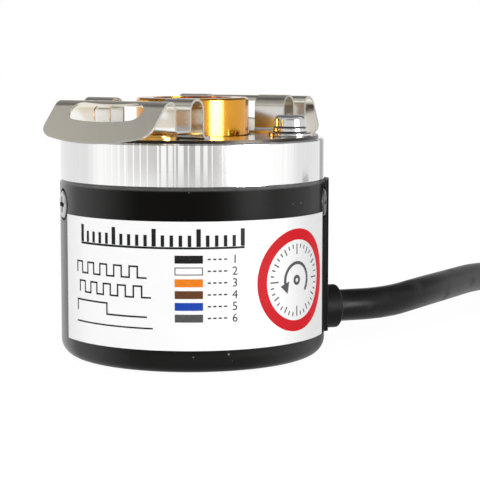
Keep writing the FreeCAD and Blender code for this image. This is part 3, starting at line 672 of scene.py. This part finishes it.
def ink(name, color, thin):
    """Printing ink: a little uneven, so the film shows through in places."""
    f = Finish(name)
    patchy = f.step(f.noise(1800.0, 4.0), 0.55, 0.8)
    return f.done(f.mix(patchy * 0.5, color, thin), 0.5 + patchy * 0.12, specular_ior_level=0.12)


def clear_glass():
    f = Finish("clear_glass")
    smear = f.noise(300.0, 3.0)
    return f.done(rgb(0.9, 0.96, 0.94), 0.02 + smear * 0.04, transmission_weight=0.9, ior=1.5)


def code_lines():
    f = Finish("code_lines")
    line_count = 500.0
    wave = (f.angle() * line_count).math("SINE")
    dark = f.step(wave, -0.1, 0.1)
    return f.done(f.mix(dark, grey(0.02), rgb(0.6, 0.66, 0.64)), 0.2 + dark * 0.1)


def solder_mask():
    f = Finish("solder_mask")
    weave = f.noise(1600.0, 1.0)
    track = f.step((f.x * 2600.0).math("SINE") * (f.y * 1900.0).math("SINE"), 0.35, 0.45)
    color = f.mix(track, rgb(0.012, 0.12, 0.05), rgb(0.03, 0.24, 0.1))
    return f.done(color, 0.22 + weave * 0.1, f.bump(track, 0.15, 0.03 * mm))


def lamp_lens():
    f = Finish("lamp_lens")
    cloud = f.noise(600.0, 2.0)
    return f.done(f.mix(cloud, rgb(0.7, 0.06, 0.05), rgb(0.85, 0.16, 0.12)), 0.08 + cloud * 0.08,
                  transmission_weight=0.5)


def wire_set():
    f = Finish("wire_set")
    across = f.y * math.cos(pad_way) - f.x * math.sin(pad_way)
    place = f.step(across, -1.9 * mm, 1.9 * mm)
    color = f.mix(place, rgb(0.5, 0.12, 0.02), rgb(0.03, 0.1, 0.5))
    return f.done(color, 0.3 + f.noise(900.0, 2.0) * 0.1)


def cable_jacket():
    f = Finish("cable_jacket")
    grain = f.noise(2600.0, 3.0)
    rub = f.step(f.noise(220.0, 4.0), 0.5, 0.75)
    color = f.mix(rub, grey(0.006), grey(0.026))
    return f.done(color, 0.36 + rub * 0.2, f.bump(grain, 0.25, 0.03 * mm), specular_ior_level=0.14)


print("finishes defined")

# %% Give every CAD node its finish
def wear(material, *names):
    for name in names:
        mesh = nodes[name].data
        mesh.materials.clear()
        mesh.materials.append(material)


brass, steel, plated, dark = polished_brass(), ground_steel(), plated_steel(), blackened_steel()
glass, cage = clear_glass(), pressed_brass()
jacket = cable_jacket()
black_part = moulded("moulded_inner", rgb(0.02, 0.02, 0.022), rgb(0.035, 0.035, 0.04), 0.4)
wear(turned_aluminium(), "flange")
wear(moulded_black(), "rear_cover")
wear(label_film(), "label_plate")
wear(brass, "hollow_shaft", "disc_hub", "board_pillars")
wear(spring_sheet("front_sheet", 235.0, 48.0), "front_spring_leaf")
wear(spring_sheet("rear_sheet", 58.0, 64.0, 0.36), "rear_spring_leaf")
wear(ring_sheet(), "bracket_ring")
wear(plated, "bracket_screws", "bracket_washers", "bracket_lock_washers", "cable_crimp",
     "board_screws", "disc_screw", "disc_washer")
for name in ("bracket_screws", "bracket_lock_washers"):
    nodes[name].visible_glossy = False  # the photograph's hub shows no image of them
wear(browned_steel(), "cover_screws")
wear(dark, "set_screws", "bearing_circlip", "shaft_circlip")
for place in ("front", "rear"):
    for piece in ("inner_ring", "outer_ring", "shields", "balls"):
        wear(steel, place + "_bearing_" + piece)
    wear(cage, place + "_bearing_cage")
wear(steel, "inner_spacer", "outer_spacer")
wear(yellow_zinc(), "bracket_rivets")
wear(glass, "code_disc", "reticle")
wear(code_lines(), "code_track")
wear(black_part, "lamp_holder", "light_sensor", "output_chip")
wear(lamp_lens(), "lamp")
wear(solder_mask(), "circuit_board")
wear(drawn_can(), "capacitor")
wear(moulded("moulded_cream", rgb(0.74, 0.70, 0.6), rgb(0.82, 0.79, 0.7), 0.4), "wire_header")
wear(wire_set(), "inner_wires")
wear(moulded("bushing_rubber", grey(0.007), grey(0.013), 0.45, 2600.0, 0.1), "cable_bushing")

lead_colors = {
    "black": (grey(0.012), grey(0.03)),
    "white": (rgb(0.74, 0.74, 0.73), rgb(0.84, 0.84, 0.83)),
    "orange": (rgb(0.74, 0.22, 0.02), rgb(0.84, 0.3, 0.04)),
    "brown": (rgb(0.14, 0.06, 0.03), rgb(0.2, 0.09, 0.045)),
    "blue": (rgb(0.02, 0.08, 0.42), rgb(0.04, 0.13, 0.52)),
}
tin = drain_wire()
free_cable.data.materials.append(jacket)
strap_plastic = moulded("strap_plastic", grey(0.02), grey(0.04), 0.36)
coil_strap.data.materials.append(strap_plastic)
for colour, lead, tip in zip(lead_names, lead_pieces, tip_pieces):
    finish = moulded("lead_" + colour, *lead_colors[colour], 0.34) if colour in lead_colors else tin
    lead.data.materials.append(finish)
    tip.data.materials.append(tin)
wear(jacket, "cable", "cable_coil", "cable_tail")
print("finishes given to", len(nodes), "nodes")

# %% [markdown]
# ## The printed label
# The film on the cover carries plain marks only: a graduated scale, three signal traces, a colour
# chart of the leads with numbers, and a round dial with graduations. Each mark is drawn flat as a
# thin solid, in millimetres along and up the label, and is then wrapped round the cover.

# %% Print helpers
label_r = 20.22
ink_thick = 0.03
strip_w = 0.5


def bar(bm, along, up, width, height, turn=0.0):
    """A flat rectangle, cut into short strips so that it can bend."""
    shape = (Matrix.Translation((along, up, 0.0)) @ Matrix.Rotation(turn, 4, "Z")
             @ Matrix.Diagonal((width, height, 1.0, 1.0)))
    parts = max(1, round(width / strip_w))
    bmesh.ops.create_grid(bm, x_segments=parts, y_segments=1, size=0.5, matrix=shape)


def hoop(bm, along, up, outer, inner, segments=96):
    """A flat ring."""
    made = bmesh.ops.create_circle(bm, cap_ends=True, segments=segments, radius=outer,
                                   matrix=Matrix.Translation((along, up, 0.0)))
    disc = list(made["verts"][0].link_faces)
    bmesh.ops.inset_region(bm, faces=disc, thickness=outer - inner, use_boundary=True,
                           use_even_offset=True)
    bmesh.ops.delete(bm, geom=disc, context="FACES")


def print_on_label(name, bm, material):
    """Gives flat marks a thickness and wraps them on the film."""
    bmesh.ops.recalc_face_normals(bm, faces=bm.faces)
    for face in bm.faces:
        if face.normal.z < 0:
            face.normal_flip()
    bmesh.ops.solidify(bm, geom=bm.faces, thickness=ink_thick)
    low = min(vert.co.z for vert in bm.verts)
    for vert in bm.verts:
        turn = vert.co.x / label_r
        reach = (label_r + vert.co.z - low - ink_thick / 3) * mm
        vert.co = (reach * math.sin(turn), -reach * math.cos(turn), vert.co.y * mm)
    bm.normal_update()
    bmesh.ops.recalc_face_normals(bm, faces=bm.faces)
    piece = new_piece(name, bm)
    piece.data.materials.append(material)
    print(name, "faces", len(piece.data.polygons))


black_ink = ink("ink_black", grey(0.012), grey(0.06))
red_ink = ink("ink_red", rgb(0.64, 0.002, 0.01), rgb(0.66, 0.02, 0.03))
grey_ink = ink("ink_grey", grey(0.09), grey(0.16))

# %% Scale along the top
mark_count, mark_group = 21, 5
scale_left, scale_up, mark_pitch = -18.4, 18.35, 1.28
marks = bmesh.new()
for i in range(mark_count):
    thick, tall = (0.62, 2.5) if i % mark_group == 0 else (0.5, 1.6)
    bar(marks, scale_left + i * mark_pitch, scale_up + tall / 2, thick, tall)
bar(marks, -5.6, 18.15, 26.2, 0.3)
print_on_label("print_scale", marks, black_ink)

# %% Signal traces at the left
def square_wave(bm, along, up, pitch, count, height, line, delay):
    for i in range(count):
        start = along + delay + i * pitch
        bar(bm, start + pitch / 4, up + height, pitch / 2 + line, line)
        bar(bm, start + pitch * 3 / 4, up, pitch / 2 + line, line)
        for edge in (start, start + pitch / 2):
            bar(bm, edge, up + height / 2, line, height)


trace_left, trace_h, trace_line = -19.8, 1.6, 0.24
pulse, pulse_count, quarter_pulse = 2.6, 5, 0.65
traces = bmesh.new()
square_wave(traces, trace_left, 13.8, pulse, pulse_count, trace_h, trace_line, 0.0)
square_wave(traces, trace_left, 11.0, pulse, pulse_count, trace_h, trace_line, quarter_pulse)
square_wave(traces, trace_left, 8.2, 13.0, 1, trace_h, trace_line, 0.0)
bar(traces, -12.9, 6.6, 14.2, 0.22)
print_on_label("print_traces", traces, black_ink)

# %% Colour chart of the leads
chart_left, chart_top, row_pitch = -2.6, 16.55, 1.68
patch_w, patch_h, outline = 4.0, 1.12, 0.12
dash_count, dash_left, dash_pitch = 4, 4.9, 0.78
digit_left, digit_drop, digit_size = 8.2, 0.6, 1.75


def draw_digit(bm, number, along, up):
    """Adds one figure, as flat faces from a text curve."""
    curve = bpy.data.curves.new("digit", "FONT")
    curve.body = str(number)
    curve.size = digit_size
    curve.resolution_u = 3
    digit = bpy.data.objects.new("digit", curve)
    digit_mesh = bpy.data.meshes.new_from_object(digit)
    digit_mesh.transform(Matrix.Translation((along, up, 0.0)))
    bm.from_mesh(digit_mesh)
    bpy.data.objects.remove(digit)
    bpy.data.curves.remove(curve)
    bpy.data.meshes.remove(digit_mesh)


chart = bmesh.new()
patches = {}
for i, colour in enumerate(lead_names):
    up = chart_top - i * row_pitch
    for dash in range(dash_count):
        bar(chart, chart_left + dash_left + dash * dash_pitch, up, 0.46, 0.2)
    if colour == "white":
        for rise in (-0.5, 0.5):
            bar(chart, chart_left + patch_w / 2, up + rise, patch_w, outline)
        for edge in (0.06, 3.94):
            bar(chart, chart_left + edge, up, outline, 0.9)
    else:
        patches[colour] = bmesh.new()
        bar(patches[colour], chart_left + patch_w / 2, up, patch_w, patch_h)
    draw_digit(chart, i + 1, chart_left + digit_left, up - digit_drop)
print_on_label("print_chart", chart, black_ink)
chart_inks = {
    "black": black_ink,
    "shield": grey_ink,
    "orange": ink("ink_orange", rgb(0.85, 0.22, 0.01), rgb(0.85, 0.35, 0.1)),
    "brown": ink("ink_brown", rgb(0.13, 0.05, 0.02), rgb(0.2, 0.1, 0.06)),
    "blue": ink("ink_blue", rgb(0.01, 0.06, 0.42), rgb(0.06, 0.14, 0.5)),
}
for colour, bm in patches.items():
    print_on_label("print_patch_" + colour, bm, chart_inks[colour])

# %% Dial at the right
dial_along, dial_up, dial_r, dial_inner_r = 17.0, 12.7, 7.5, 5.9
dial_centre = (dial_along, dial_up, 0.0)
dial = bmesh.new()
hoop(dial, dial_along, dial_up, dial_r, dial_inner_r)
print_on_label("print_dial_ring", dial, red_ink)
tick_count, tick_outer_r, tick_line = 36, 5.3, 0.2
ticks = bmesh.new()
for i in range(tick_count):
    turn = 2 * math.pi * i / tick_count
    length = 1.5 if i % 9 == 0 else (1.0 if i % 3 == 0 else 0.6)
    reach = tick_outer_r - length / 2
    along, up = dial_along + reach * math.cos(turn), dial_up + reach * math.sin(turn)
    bar(ticks, along, up, length, tick_line, turn)
hoop(ticks, dial_along, dial_up, 0.75, 0.3, 32)
print_on_label("print_dial_ticks", ticks, grey_ink)

arrow_from, arrow_sweep, head_turn = (math.radians(angle) for angle in (-40.0, 240.0, 200.0))
arrow_radii, head_reach, head_r = (2.3, 2.75), 2.52, 1.05
arrow = bmesh.new()
tail = [arrow.verts.new((dial_along + radius, dial_up, 0.0)) for radius in arrow_radii]
tail_edge = arrow.edges.new(tail)
bmesh.ops.rotate(arrow, verts=tail, cent=dial_centre, matrix=Matrix.Rotation(arrow_from, 3, "Z"))
bmesh.ops.spin(arrow, geom=[*tail, tail_edge], cent=dial_centre, axis=(0, 0, 1),
               angle=arrow_sweep, steps=40)
head_place = Matrix.Translation((dial_along + head_reach * math.cos(head_turn),
                                 dial_up + head_reach * math.sin(head_turn), 0.0))
bmesh.ops.create_circle(arrow, cap_ends=True, segments=3, radius=head_r,
                        matrix=head_place @ Matrix.Rotation(head_turn, 4, "Z"))
print_on_label("print_dial_arrow", arrow, grey_ink)
